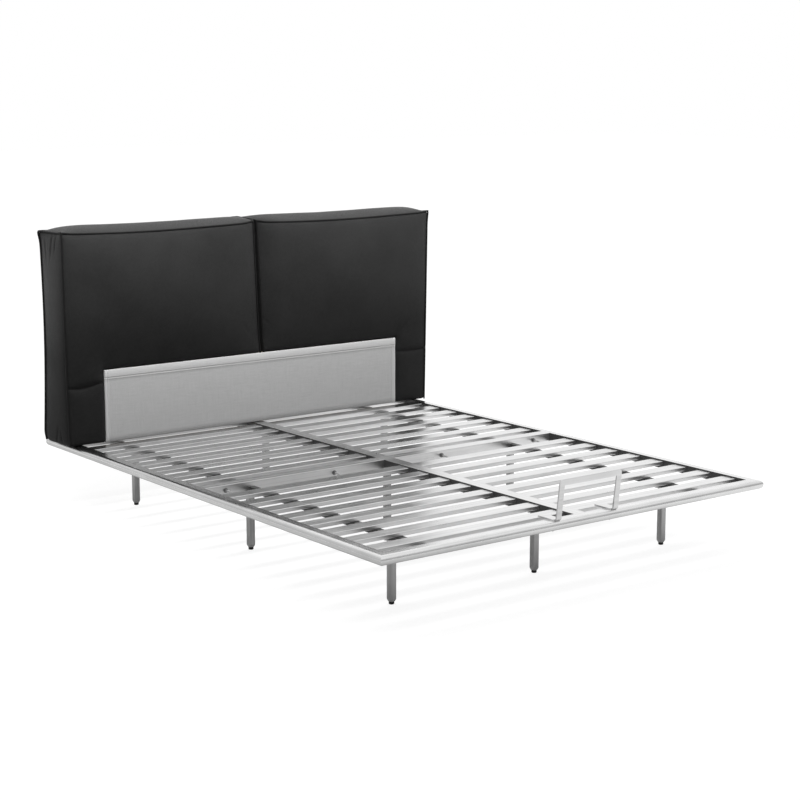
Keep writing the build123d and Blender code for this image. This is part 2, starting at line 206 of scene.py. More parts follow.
def brushedSteel(name, along, look):
    material, tree, shader, coords = startMaterial(name, Metallic=1.0)
    scale = [look["strokes"]] * 3
    scale["XYZ".index(along)] = look["drawnOut"]
    grain = placeGroup(tree, brushGroup, {"Strokes": stretched(tree, coords, scale), "Place": coords})
    share = ramp(tree, grain["Shade"], 0.32, 0.68, 0.0, 1.0)
    tone = blendColor(tree, share, grey(look["dark"]), grey(look["light"]))
    rough = ramp(tree, grain["Rough"], 0.3, 0.7, look["roughLow"], look["roughHigh"])
    if along == "Y":
        # painted shade: the upright inner faces between the rails are painted dark, standing in for the dark
        # they mirror from under the slats
        facing = axesOf(tree, put(tree, "ShaderNodeNewGeometry").outputs["Normal"])["X"]
        place = axesOf(tree, coords)["X"]
        upright = ramp(tree, calc(tree, "ABSOLUTE", facing), 0.75, 0.95, 0.0, 1.0)
        inside = calc(tree, "LESS_THAN", calc(tree, "ABSOLUTE", place), look["paintedShadeReach"])
        paintedShadeMask = calc(tree, "MULTIPLY", upright, inside)
        tone = blendColor(tree, paintedShadeMask, tone, grey(look["paintedShadeTone"]))
        rough = calc(tree, "ADD", rough, calc(tree, "MULTIPLY", paintedShadeMask, look["paintedShadeRough"]))
    feed(tree, shader.inputs["Base Color"], tone)
    feed(tree, shader.inputs["Roughness"], rough)
    addBump(tree, shader, grain["Height"], look["bump"], 0.0003)
    return material


leatherLook = {"heights": (0.62, 1.08), "crease": 0.4, "creaseRight": (0.03, 0.13), "creaseLeft": (0.0, 0.02)}


def leather(name, tones, rough, bump, gloss):
    look = leatherLook
    material, tree, shader, coords = startMaterial(name)
    # the gloss falls towards the foot and in the crease right of the split, to match the photo's tones
    # painted sheen and shade: less gloss low down and in the crease stands in for the light falling off
    # downwards and the shade in the crease
    axes = axesOf(tree, coords)
    paintedSheen = ramp(tree, axes["Z"], *look["heights"], *gloss)
    rightOfSplit = ramp(tree, axes["X"], *look["creaseRight"], look["crease"], 1.0)
    leftOfSplit = ramp(tree, axes["X"], *look["creaseLeft"], 1.0, look["crease"])
    paintedSheen = calc(tree, "MULTIPLY", paintedSheen, calc(tree, "MAXIMUM", rightOfSplit, leftOfSplit))
    feed(tree, shader.inputs["Specular IOR Level"], paintedSheen)
    grain = placeGroup(tree, leatherGroup, {"Place": coords})
    share = ramp(tree, grain["Tone"], 0.35, 0.65, 0.0, 1.0)
    feed(tree, shader.inputs["Base Color"], blendColor(tree, share, grey(tones[0]), grey(tones[1])))
    feed(tree, shader.inputs["Roughness"], ramp(tree, grain["Rough"], 0.3, 0.7, *rough))
    addBump(tree, shader, grain["Height"], bump, 0.0012)
    return material


def woven(name, tones, pitch, bump, rim=None):
    material, tree, shader, coords = startMaterial(name)
    shader.inputs["Specular IOR Level"].default_value = 0.2
    weave = placeGroup(tree, weaveGroup, {"Place": coords, "Pitch": pitch})
    share = ramp(tree, weave["Tone"], 0.3, 0.7, 0.0, 1.0)
    tone = blendColor(tree, share, grey(tones[0]), grey(tones[1]))
    if rim:
        # painted highlight: the doubled cloth along the sides and the top is painted a little paler, as light
        # catching the raised folds
        sideX, topZ, paintedFoldHighlight = rim
        blur = 0.002
        axes = axesOf(tree, coords)
        atSide = ramp(tree, calc(tree, "ABSOLUTE", axes["X"]), sideX - blur, sideX + blur, 0.0, 1.0)
        atTop = ramp(tree, axes["Z"], topZ - blur, topZ + blur, 0.0, 0.45)
        tone = blendColor(tree, calc(tree, "MAXIMUM", atSide, atTop), tone, grey(paintedFoldHighlight))
    feed(tree, shader.inputs["Base Color"], tone)
    feed(tree, shader.inputs["Roughness"], ramp(tree, weave["Tone"], 0.2, 0.8, 0.78, 0.95))
    addBump(tree, shader, weave["Height"], bump, 0.0005)
    return material


def timber(name, dark, light, along):
    material, tree, shader, coords = startMaterial(name)
    scale = [60.0, 60.0, 60.0]
    scale["XYZ".index(along)] = 4.0
    grain = noiseAt(tree, stretched(tree, coords, scale), 1.0, 5.0, 0.6)
    share = ramp(tree, grain, 0.3, 0.7, 0.0, 1.0)
    feed(tree, shader.inputs["Base Color"], blendColor(tree, share, dark, light))
    feed(tree, shader.inputs["Roughness"], ramp(tree, grain, 0.3, 0.7, 0.55, 0.75))
    addBump(tree, shader, grain, 0.2, 0.0005)
    return material


def speckled(name, dark, light, rough, scale, bump, metallic=0.0):
    material, tree, shader, coords = startMaterial(name, Metallic=metallic)
    specks = noiseAt(tree, coords, scale, 4.0, 0.6)
    share = ramp(tree, specks, 0.35, 0.65, 0.0, 1.0)
    feed(tree, shader.inputs["Base Color"], blendColor(tree, share, dark, light))
    feed(tree, shader.inputs["Roughness"], ramp(tree, specks, 0.3, 0.7, *rough))
    addBump(tree, shader, specks, bump, 0.0004)
    return material


satinLook = dict(steelLook, roughLow=0.18, roughHigh=0.30)
# painted shade: the legs' steel is painted darker, standing in for the shaded floor that they mirror
shadedLegLook = dict(steelLook, dark=0.30, light=0.58, roughLow=0.26, roughHigh=0.42)
# painted shade: the bearers' steel is painted near black, as the shade they lie in under the slats
shadedBearerLook = dict(steelLook, dark=0.08, light=0.20, roughLow=0.34, roughHigh=0.50)
steelX = brushedSteel("brushedSteelAcross", "X", steelLook)
steelY = brushedSteel("brushedSteelAlong", "Y", steelLook)
shadedBearerSteel = brushedSteel("shadedBearerSteelAlong", "Y", shadedBearerLook)
steelZ = brushedSteel("brushedSteelUpright", "Z", shadedLegLook)
satinX = brushedSteel("satinSteelAcross", "X", satinLook)
satinY = brushedSteel("satinSteelAlong", "Y", satinLook)
zinc = speckled("zincPlate", grey(0.72), grey(0.88), (0.4, 0.55), 240.0, 0.1, 1.0)
# painted shade: the nuts and washers are painted darker, as the shade at the bolts' bases
shadedNutZinc = speckled("shadedNutZincPlate", grey(0.26), grey(0.40), (0.4, 0.55), 240.0, 0.1, 1.0)
footBlack = speckled("blackFoot", grey(0.012), grey(0.028), (0.5, 0.68), 700.0, 0.25)
coverLeather = leather("blackLeather", (0.012, 0.018), (0.36, 0.50), 0.40, (0.07, 0.31))
# painted shade: the welts are painted darker than the cover, as the shade in the seams' creases
shadedWeltLeather = leather("shadedWeltLeather", (0.005, 0.009), (0.50, 0.64), 0.25, (0.22, 0.22))
panelCloth = woven("greyWeave", (0.32, 0.43), 0.0016, 0.35, (0.7176, 0.5246, 0.47))
threadGrey = speckled("greyThread", grey(0.34), grey(0.50), (0.7, 0.85), 900.0, 0.3)
dustCloth = woven("blackBackCloth", (0.012, 0.03), 0.0022, 0.4)
plywood = timber("plywood", (0.42, 0.29, 0.17, 1), (0.62, 0.47, 0.30, 1), "X")
pine = timber("pine", (0.50, 0.34, 0.19, 1), (0.68, 0.50, 0.31, 1), "Z")
foamLook = speckled("foam", (0.62, 0.58, 0.44, 1), (0.76, 0.72, 0.58, 1), (0.85, 0.95), 500.0, 0.4)
print("materials made")


# every CAD node keeps its mesh and takes the first finish whose word ends its name

finishes = (
    ("levelling_foot", footBlack), ("nuts", shadedNutZinc), ("washers", shadedNutZinc), ("bolts", zinc),
    ("side_rail", satinY), ("rail", satinX), ("bearer", shadedBearerSteel), ("beam", steelY),
    ("leg", steelZ), ("plugs", steelZ), ("cover", coverLeather), ("foam", foamLook),
    ("timber_frame", pine), ("board", plywood), ("fabric", panelCloth), ("", steelX),
)

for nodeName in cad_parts:
    finish = next(material for ending, material in finishes if nodeName.endswith(ending))
    for place in bpy.data.objects[nodeName].material_slots:
        place.material = finish
print("finishes on the CAD nodes")


# tools for new pieces

def addPiece(name, mesh, material):
    piece = bpy.data.objects.new(name, mesh)
    scene.collection.objects.link(piece)
    mesh.materials.clear()
    mesh.materials.append(material)
    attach(piece, "bed_frame")
    return piece


def shade(mesh, smooth=True):
    for face in mesh.polygons:
        face.use_smooth = smooth


def meshFrom(bm, name, smooth=True, outward=True):
    if outward:
        bmesh.ops.recalc_face_normals(bm, faces=bm.faces[:])
    mesh = bpy.data.meshes.new(name)
    bm.to_mesh(mesh)
    bm.free()
    shade(mesh, smooth)
    return mesh


def bakeModifiers(piece):
    graph = bpy.context.evaluated_depsgraph_get()
    graph.update()
    baked = bpy.data.meshes.new_from_object(piece.evaluated_get(graph))
    piece.modifiers.clear()
    old = piece.data
    piece.data = baked
    bpy.data.meshes.remove(old)


def smoothStep(low, high, value):
    share = min(1.0, max(0.0, (value - low) / (high - low)))
    return share * share * (3 - 2 * share)


def cutAcross(bm, axis, places):
    normal = Vector((0, 0, 0))
    normal[axis] = 1
    for value in places:
        point = Vector((0, 0, 0))
        point[axis] = value
        geom = bm.verts[:] + bm.edges[:] + bm.faces[:]
        bmesh.ops.bisect_plane(bm, geom=geom, plane_co=point, plane_no=normal, dist=1e-6)


def uprightGrid(cells, half, low, high, y):
    bm = bmesh.new()
    bmesh.ops.create_grid(bm, x_segments=cells[0], y_segments=cells[1], size=0.5)
    place = Matrix.Translation((0, y, (low + high) / 2)) @ Matrix.Rotation(pi / 2, 4, "X")
    bmesh.ops.transform(bm, matrix=place @ Matrix.Diagonal((2 * half, high - low, 1, 1)), verts=bm.verts[:])
    return bm


def evenCuts(low, high, cell):
    count = max(1, round((high - low) / cell))
    return [low + (high - low) * step / count for step in range(1, count)]


# headboard cushions: u runs from the split outwards, so both halves share one pattern

cushionLook = {
    "frontY": 0.908, "depth": 0.196, "depthTop": 0.166, "bottomZ": 0.2645, "topZ": 1.119,
    "innerU": 0.006, "outerU": 0.898, "panelU": 0.7345, "panelZ": 0.5615, "seamZ": 0.501,
    "cell": 0.0135, "seamBand": 0.006, "frames": 16,
    "flare": 0.015, "leftReach": 0.009, "waist": 0.0105, "waistZ": 0.27,
    "topSag": 0.009, "sagFrom": 0.82, "sagBack": 0.45, "sagLean": {-1: 0.25, 1: -0.1},
    "topCrown": 0.021, "crownFrom": 0.90, "crownPower": 2.2, "topEnd": 0.030, "splitShare": 0.6,
    "tuck": 0.009, "tuckReach": 0.045, "seamDepth": 0.004, "seamWidth": 0.004, "seamReach": 0.06,
    "wallNear": 0.003, "wallSwell": 0.006, "wallReach": 0.02,
    "slant": 0.024, "slantReach": 0.15, "slantDeep": 0.34, "slantTop": 0.002,
    "splitBack": 0.005, "splitEdge": 0.024, "splitRound": 0.010, "roundReach": 0.09, "pullHeight": 0.07,
    "foot": (-0.005, -0.005, 0.004), "footReach": 0.022, "uneven": 0.0012, "unevenScale": 7,
    "crowns": {"front": 0.030, "top": 0.005, "side": 0.004, "back": 0.005},
    "rolls": {"front": 0.007, "top": 0.004, "side": 0.006, "back": 0.006}, "rollReach": 0.020,
}

# the top corners are drawn out into ears: where, how far each way, and over what reach
earLook = (
    ("outerU", "back", (0.006, 0.003, 0.0), 0.030),
    ("outerU", "front", (0.003, -0.002, 0.004), 0.030),
    ("innerU", "front", (-0.001, -0.001, 0.005), 0.034),
    ("innerU", "back", (-0.002, 0.002, 0.011), 0.034),
)

clothLook = {
    "quality": 6, "mass": 0.3, "tension_stiffness": 14, "compression_stiffness": 14,
    "shear_stiffness": 6, "bending_stiffness": 0.6, "use_pressure": True, "uniform_pressure_force": 4.0,
}


def shareUp(z):
    look = cushionLook
    return (z - look["bottomZ"]) / (look["topZ"] - look["bottomZ"])


def backAt(z):
    look = cushionLook
    return look["frontY"] + look["depth"] + (look["depthTop"] - look["depth"]) * shareUp(z)


def near(point, spot, reach):
    return bell((point - Vector(spot)).length, reach)


def bell(distance, reach):
    return exp(-(distance / reach) ** 2)


def shapePattern(p, side):
    look = cushionLook
    u, y, z = p
    up = shareUp(z)
    inShare = (u - look["innerU"]) / (look["outerU"] - look["innerU"])
    deep = (y - look["frontY"]) / look["depth"]
    edgeShare = max(0.0, (u - look["panelU"]) / (look["outerU"] - look["panelU"]))
    out = Vector((u, look["frontY"] + deep * (backAt(z) - look["frontY"]), z))
    out.x += look["flare"] * up * edgeShare
    # the left cushion's outer edges follow the photo: in at the front top, waisted at the back
    if side < 0:
        out.x += look["leftReach"] * edgeShare * (deep * (1 - up) - (1 - deep) * up ** 2)
        rise = max(0.0, min(1.0, (z - look["waistZ"]) / (look["topZ"] - look["waistZ"])))
        out.x -= look["waist"] * edgeShare * deep * sin(pi * rise)
    # top edge sags between its corners, more at the front
    sag = look["topSag"] * sin(pi * inShare) * (1 + look["sagLean"][side] * cos(pi * (1 - inShare)))
    out.z -= sag * smoothStep(look["sagFrom"], 1.0, up) * (1 - look["sagBack"] * deep)
    # it is crowned from front to back, steep at the outer end and blunt at the split
    ends = 1 - exp(-max(0.0, look["outerU"] - u) / look["topEnd"])
    ends *= 1 - (1 - look["splitShare"]) * exp(-(u - look["innerU"]) / look["topEnd"])
    ends *= 0.72 + 0.28 * inShare if side < 0 else 0.9
    arch = 1 - abs(2 * deep - 1) ** look["crownPower"]
    out.z += look["topCrown"] * arch * ends * smoothStep(look["crownFrom"], 1.0, up)
    faceY = {"front": look["frontY"], "back": look["frontY"] + look["depth"]}
    for edge, face, move, reach in earLook:
        out += Vector(move) * near(p, (look[edge], faceY[face], look["topZ"]), reach)
    # face tucks in over the grey panel
    if u < look["panelU"] + 1e-4:
        out.y += look["tuck"] * bell(z - look["panelZ"], look["tuckReach"]) * (1 - deep)
    # seam above the lower corner, on the front only
    if u > look["panelU"] - 1e-4:
        along = 1 - edgeShare
        if side < 0:
            wave = -0.009 * sin(pi * min(1, along * 1.2)) + 0.010 * along
        else:
            wave = -0.004 * sin(pi * along) - 0.002
        front = max(0.0, 1 - deep * 6)
        out.z += wave * bell(z - look["seamZ"], look["seamReach"]) * front
        out.y += look["seamDepth"] * bell(z - look["seamZ"], look["seamWidth"]) * front
    # the walls at the split swell until they almost meet
    fromSplit = u - look["innerU"]
    wall = look["wallNear"] * exp(-deep * 7) - look["wallSwell"] * sin(pi * deep)
    out.x += wall * bell(fromSplit, look["wallReach"])
    # their front edges draw back
    pulled = smoothStep(look["panelZ"], look["panelZ"] + look["pullHeight"], z) * max(0.0, 1 - deep * 3)
    drawn = look["splitBack"] * exp(-fromSplit / look["splitEdge"])
    out.y += (drawn + look["splitRound"] * bell(fromSplit, look["roundReach"])) * pulled
    # and the split slants
    fall = min(1.0, (look["topZ"] - z) / (look["topZ"] - look["panelZ"]))
    shift = (look["slant"] * fall + look["slantTop"]) * (1 - smoothStep(0.0, look["slantDeep"], deep))
    out.x += side * shift * bell(fromSplit, look["slantReach"])
    # back bottom corner is rounded off
    if edgeShare > 0:
        foot = (look["outerU"], faceY["back"], look["bottomZ"])
        out += Vector(look["foot"]) * near(p, foot, look["footReach"])
    return out


def cushionPattern():
    look = cushionLook
    bm = bmesh.new()
    us = (look["outerU"], look["panelU"], look["innerU"])
    zs = (look["bottomZ"], look["panelZ"], look["topZ"])
    corner = {}
    for i, u in enumerate(us):
        for j, z in enumerate(zs):
            if (i, j) != (2, 0):
                corner[i, j] = bm.verts.new((u, look["frontY"], z))
    for i, j in ((0, 0), (0, 1), (1, 1)):
        bm.faces.new([corner[i, j], corner[i + 1, j], corner[i + 1, j + 1], corner[i, j + 1]])
    made = bmesh.ops.extrude_face_region(bm, geom=bm.faces[:])["geom"]
    moved = [item for item in made if isinstance(item, bmesh.types.BMVert)]
    bmesh.ops.translate(bm, verts=moved, vec=(0, look["depth"], 0))
    cell = look["cell"]
    seams = [look["seamZ"] + step * look["seamBand"] for step in (-1, 0, 1)]
    inner = evenCuts(look["innerU"], look["panelU"], cell)
    cutAcross(bm, 0, inner + evenCuts(look["panelU"], look["outerU"], cell))
    cutAcross(bm, 1, evenCuts(look["frontY"], look["frontY"] + look["depth"], cell))
    rows = evenCuts(look["bottomZ"], seams[0], cell) + seams + evenCuts(seams[2], look["panelZ"], cell)
    cutAcross(bm, 2, rows + evenCuts(look["panelZ"], look["topZ"], cell))
    bm.verts.ensure_lookup_table()
    return bm


def regionOf(p):
    look = cushionLook
    tiny = 1e-4
    back = look["frontY"] + look["depth"]
    found = []
    if abs(p.y - look["frontY"]) < tiny:
        found.append("front")
    if abs(p.y - back) < tiny:
        found.append("back")
    if abs(p.z - look["topZ"]) < tiny:
        found.append("top")
    if abs(p.x - look["outerU"]) < tiny:
        found.append("side")
    if abs(p.x - look["innerU"]) < tiny:
        found.append("inner")
    atNotch = abs(p.z - look["panelZ"]) < tiny and p.x < look["panelU"] + tiny
    atReturn = abs(p.x - look["panelU"]) < tiny and p.z < look["panelZ"] + tiny
    if abs(p.z - look["bottomZ"]) < tiny or atNotch or atReturn:
        found.append("base")
    if "front" in found and p.x > look["panelU"] - tiny and abs(p.z - look["seamZ"]) < tiny:
        found.append("seam")
    return found


def seamGap(p, region):
    look = cushionLook
    low = p.z < look["panelZ"]
    gaps = []
    if region != "top":
        gaps.append(look["topZ"] - p.z)
    if region != "side":
        gaps += [look["outerU"] - p.x, p.x - (look["panelU"] if low else look["innerU"])]
    if region in ("top", "side"):
        gaps += [p.y - look["frontY"], look["frontY"] + look["depth"] - p.y]
    if region == "front" and p.x > look["panelU"]:
        gaps.append(max(0.004, p.z - look["seamZ"]) * 2)
    return max(0.0, min(gaps))


def rollOut(p, region, side):
    look = cushionLook
    outward = {"front": (0, -1, 0), "back": (0, 1, 0), "top": (0, 0, 1), "side": (side, 0, 0)}[region]
    return Vector(outward) * look["rolls"][region] * (1 - exp(-seamGap(p, region) / look["rollReach"]))


def swell(piece, pattern, side):
    look = cushionLook
    regions = [regionOf(p) for p in pattern]
    pins = piece.vertex_groups.new(name="pins")
    held = [i for i, r in enumerate(regions) if len(r) > 1 or "base" in r or "inner" in r]
    pins.add(held, 1.0, "REPLACE")
    cloth = piece.modifiers.new("swell", "CLOTH")
    for key, value in clothLook.items():
        setattr(cloth.settings, key, value)
    cloth.settings.effector_weights.gravity = 0
    cloth.settings.vertex_group_mass = pins.name
    cloth.point_cache.frame_start = 1
    cloth.point_cache.frame_end = look["frames"]
    for number in range(1, look["frames"] + 1):
        scene.frame_set(number)
    graph = bpy.context.evaluated_depsgraph_get()
    shaped = piece.evaluated_get(graph).data
    moves = [shaped.vertices[i].co - v.co for i, v in enumerate(piece.data.vertices)]
    piece.modifiers.clear()
    piece.vertex_groups.clear()
    scene.frame_set(1)
    # each face's swelling is scaled to the crown that it should have
    for name, crown in look["crowns"].items():
        group = [i for i, r in enumerate(regions) if r == [name]]
        most = max([moves[i].length for i in group], default=0)
        if most > 0:
            scale = crown / most
            for i in group:
                piece.data.vertices[i].co += moves[i] * scale + rollOut(pattern[i], name, side)
        print("  swell", piece.name, name, "sim", round(most, 4), "crown", crown)


# folds pressed into a side: start, end, half width and depth, in the pattern's own places

foldLook = {
    "left": [
        ("side", (0.976, 1.104), (0.990, 1.015), 0.0065, 0.0040),
        ("side", (0.947, 1.106), (0.957, 1.035), 0.0055, 0.0034),
        ("side", (1.030, 1.090), (1.022, 1.000), 0.0080, 0.0022),
        ("side", (1.000, 0.275), (0.975, 0.345), 0.0070, 0.0022),
        ("side", (0.955, 0.272), (0.965, 0.330), 0.0060, 0.0020),
        ("front", (0.720, 0.585), (0.665, 0.655), 0.0100, 0.0016),
        ("front", (0.030, 0.640), (0.085, 0.700), 0.0100, 0.0016),
    ],
    "right": [
        ("side", (0.970, 1.104), (0.985, 1.020), 0.0065, 0.0036),
        ("side", (1.025, 1.092), (1.018, 1.005), 0.0080, 0.0024),
        ("side", (0.990, 0.275), (0.970, 0.345), 0.0070, 0.0022),
        ("front", (0.745, 0.580), (0.800, 0.650), 0.0080, 0.0024),
        ("front", (0.765, 0.572), (0.835, 0.600), 0.0070, 0.0020),
        ("front", (0.020, 0.720), (0.060, 0.680), 0.0090, 0.0022),
    ],
}


def pressFolds(mesh, side, folds):
    normals = [vertex.normal.copy() for vertex in mesh.vertices]
    for face, start, end, width, depth in folds:
        axis = 1 if face == "side" else 0
        a, b = Vector(start), Vector(end)
        run = b - a
        for vertex, n in zip(mesh.vertices, normals):
            facing = abs(n.x) if face == "side" else -n.y
            if facing < 0.6 or (face == "side" and vertex.co.x * side < 0.5):
                continue
            spot = Vector((vertex.co.y if axis else vertex.co.x * side, vertex.co.z))
            share = (spot - a).dot(run) / run.length_squared
            if not -0.2 < share < 1.2:
                continue
            away = (spot - a - run * share).length / width
            fade = smoothStep(-0.2, 0.15, share) * (1 - smoothStep(0.5, 1.2, share))
            dip = (1 - away * away) * exp(-away * away)  # a valley with a low ridge on both sides
            vertex.co -= n * depth * dip * fade


def makeCushion(name, side, nodes):
    bm = cushionPattern()
    pattern = [v.co.copy() for v in bm.verts]
    for v, p in zip(bm.verts, pattern):
        v.co = shapePattern(p, side)
        v.co.x *= side
    if bm.calc_volume(signed=True) < 0:
        bmesh.ops.reverse_faces(bm, faces=bm.faces[:])
    piece = addPiece(name, meshFrom(bm, name, outward=False), coverLeather)
    swell(piece, pattern, side)
    finer = piece.modifiers.new("finer", "SUBSURF")
    finer.levels = finer.render_levels = 1
    bakeModifiers(piece)
    mesh = piece.data
    normals = [vertex.normal.copy() for vertex in mesh.vertices]
    for vertex, n in zip(mesh.vertices, normals):  # slow unevenness of the padding
        place = vertex.co * cushionLook["unevenScale"] + Vector((3 * side, 0, 0))
        vertex.co += n * cushionLook["uneven"] * noise.noise(place)
    pressFolds(mesh, side, foldLook["left" if side < 0 else "right"])
    shade(mesh)
    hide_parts(*nodes)
    print("cushion made:", name, len(mesh.polygons), "faces")


for sideName, side in (("left", -1), ("right", 1)):
    covered = [f"headboard_{sideName}_{part}" for part in ("upper_cover", "lower_cover", "foam")]
    makeCushion(f"{sideName}Cushion", side, covered)


# welts: leather piping along the cushion's seams

weltLook = {"radius": 0.0036, "backRadius": 0.0052, "step": 0.012, "proud": 0.0008}


def patternRun(points, step):
    run = []
    for a, b in zip(points, points[1:]):
        a, b = Vector(a), Vector(b)
        count = max(2, round((b - a).length / step))
        run += [a.lerp(b, k / count) for k in range(count)]
    return run + [Vector(points[-1])]


def makeWelt(name, side, points, outward, radius):
    run = [shapePattern(p, side) for p in patternRun(points, weltLook["step"])]
    curve = bpy.data.curves.new(name, "CURVE")
    curve.dimensions = "3D"
    curve.bevel_depth = radius
    curve.bevel_resolution = 3
    curve.use_fill_caps = True
    line = curve.splines.new("NURBS")
    line.points.add(len(run) - 1)
    for spot, p in zip(line.points, run):
        p = p + Vector(outward) * weltLook["proud"]
        spot.co = (p.x * side, p.y, p.z, 1)
    line.order_u = 3
    line.use_endpoint_u = True
    curve.resolution_u = 3
    holder = bpy.data.objects.new(name, curve)
    scene.collection.objects.link(holder)
    mesh = bpy.data.meshes.new_from_object(holder.evaluated_get(bpy.context.evaluated_depsgraph_get()))
    bpy.data.objects.remove(holder)
    shade(mesh)
    addPiece(name, mesh, shadedWeltLeather)


def makeWelts(sideName, side):
    look = cushionLook
    front, back = look["frontY"], look["frontY"] + look["depth"]
    low, top, notch = look["bottomZ"], look["topZ"], look["panelZ"]
    inner, outer = look["innerU"], look["outerU"]
    frontLoop = [(outer, front, low), (outer, front, top), (inner, front, top), (inner, front, notch)]
    backLoop = [(outer, back, low), (outer, back, top), (inner, back, top), (inner, back, notch)]
    thin, thick = weltLook["radius"], weltLook["backRadius"]
    makeWelt(f"{sideName}FrontWelt", side, frontLoop, (0, -1, 0), thin)
    makeWelt(f"{sideName}BackWelt", side, backLoop, (1, 1, 0), thick)
    makeWelt(f"{sideName}OuterCornerWelt", side, [(outer, front, top), (outer, back, top)], (1, 0, 1), thin)
    makeWelt(f"{sideName}InnerCornerWelt", side, [(inner, front, top), (inner, back, top)], (0, 0, 1), thin)


for sideName, side in (("left", -1), ("right", 1)):
    makeWelts(sideName, side)
print("welts made")


# grey panel: woven cover stretched over its board, with a sewn hem and folded sides

panelLook = {
    "halfWidth": 0.7336, "lowZ": 0.2654, "highZ": 0.5606, "frontY": 0.9085,
    "hem": 0.036, "fold": 0.016, "wrap": 0.0148, "cloth": 0.0012, "cells": (60, 12),
    "hemLift": 0.0010, "groove": 0.0014, "grooveWidth": 0.0016, "crown": 0.0015, "crownReach": 0.1,
    "edge": 0.004, "seamIn": 0.004, "ripple": 0.0006, "edgeCuts": (0.0012, 0.0026),
    "seamCuts": (-0.006, -0.0035, -0.002, -0.0008, 0.0, 0.0008, 0.002, 0.0035, 0.006),
}


def panelRelief(x, z):
    look = panelLook
    sideGap = look["halfWidth"] - abs(x)
    topGap = look["highZ"] - z
    lowGap = z - look["lowZ"]
    reach = look["crownReach"]
    lift = look["crown"] * min(1.0, sideGap / reach) * min(1.0, topGap / reach, lowGap / reach)
    lift += look["hemLift"] * (1 - smoothStep(look["hem"] - 0.001, look["hem"] + 0.002, topGap))
    lift += look["hemLift"] * (1 - smoothStep(look["fold"] - 0.001, look["fold"] + 0.002, sideGap))
    for gap, line in ((topGap, look["hem"] - look["seamIn"]), (sideGap, look["fold"] - look["seamIn"])):
        lift -= look["groove"] * bell(gap - line, look["grooveWidth"])
    lift += look["ripple"] * noise.noise(Vector((x * 9, 0, z * 14)))
    nearest = min(sideGap, topGap, lowGap)
    if nearest < look["edge"]:
        lift -= look["edge"] * 0.5 * (1 - nearest / look["edge"]) ** 2
    return lift


def seamLines():
    look = panelLook
    return look["highZ"] - look["hem"] + look["seamIn"], look["halfWidth"] - look["fold"] + look["seamIn"]


def makePanel():
    look = panelLook
    half, low, high = look["halfWidth"], look["lowZ"], look["highZ"]
    hemZ, foldX = seamLines()
    bm = uprightGrid(look["cells"], half, low, high, look["frontY"])
    rows = [hemZ + step for step in look["seamCuts"]]
    rows += [high - step for step in look["edgeCuts"]] + [low + step for step in look["edgeCuts"]]
    cutAcross(bm, 2, rows)
    columns = [foldX + step for step in look["seamCuts"]] + [half - step for step in look["edgeCuts"]]
    for sign in (-1, 1):
        cutAcross(bm, 0, [sign * value for value in columns])
    for v in bm.verts:
        v.co.y = look["frontY"] - panelRelief(v.co.x, v.co.z)
    rim = [edge for edge in bm.edges if edge.is_boundary]
    made = bmesh.ops.extrude_edge_only(bm, edges=rim)["geom"]
    moved = [item for item in made if isinstance(item, bmesh.types.BMVert)]
    for v in moved:
        v.co.y = look["frontY"] + look["wrap"]
    mesh = meshFrom(bm, "panelCover")
    piece = addPiece("panelCover", mesh, panelCloth)
    wall = piece.modifiers.new("cloth", "SOLIDIFY")
    wall.thickness = look["cloth"]
    wall.offset = -1
    bakeModifiers(piece)
    shade(piece.data)
    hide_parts("headboard_panel_fabric")
    return piece


stitchLook = {
    "pitch": 0.0058, "length": 0.0040, "thick": 0.0009, "proud": 0.0006, "ends": 0.006, "crownShare": 0.3,
}


def stitchRow(bm, start, end):
    look = stitchLook
    a, b = Vector(start), Vector(end)
    count = int((b - a).length / look["pitch"])
    turn = (b - a).to_track_quat("X", "Z").to_matrix().to_4x4()
    size = Matrix.Diagonal((look["length"], look["thick"], look["thick"], 1))
    for k in range(count):
        spot = a.lerp(b, (k + 0.5) / count)
        made = bmesh.ops.create_icosphere(bm, subdivisions=1, radius=0.5)
        bmesh.ops.transform(bm, matrix=Matrix.Translation(spot) @ turn @ size, verts=made["verts"])


def makeStitches():
    look = panelLook
    hemZ, foldX = seamLines()
    y = look["frontY"] - stitchLook["proud"]
    hemY = y - look["crown"] * stitchLook["crownShare"]
    low, high = look["lowZ"] + stitchLook["ends"], look["highZ"] - stitchLook["ends"]
    bm = bmesh.new()
    stitchRow(bm, (-foldX, hemY, hemZ), (foldX, hemY, hemZ))
    for sign in (-1, 1):
        stitchRow(bm, (sign * foldX, y, low), (sign * foldX, y, high))
    return addPiece("panelStitches", meshFrom(bm, "panelStitches"), threadGrey)


panelCover = makePanel()
panelStitches = makeStitches()
print("panel made")


# back: dust cloth stapled over the plywood between the lower corners

backLook = {
    "halfWidth": 0.7335, "lowZ": 0.270, "highZ": 0.5605, "y": 1.0612, "cloth": 0.0008, "cells": (120, 24),
    "ripple": 0.0011, "staple": 0.055, "stapleIn": 0.009, "stapleOut": 0.0026,
    "stapleSize": (0.011, 0.0012, 0.0012), "stapleEdge": 0.0003,
}


def makeBackCloth():
    look = backLook
    bm = uprightGrid(look["cells"], look["halfWidth"], look["lowZ"], look["highZ"], look["y"])
    for v in bm.verts:
        v.co.y += look["ripple"] * (1 + noise.noise(Vector((v.co.x * 16, 5.0, v.co.z * 7))))
    piece = addPiece("backCloth", meshFrom(bm, "backCloth"), dustCloth)
    wall = piece.modifiers.new("cloth", "SOLIDIFY")
    wall.thickness = look["cloth"]
    bakeModifiers(piece)
    return piece


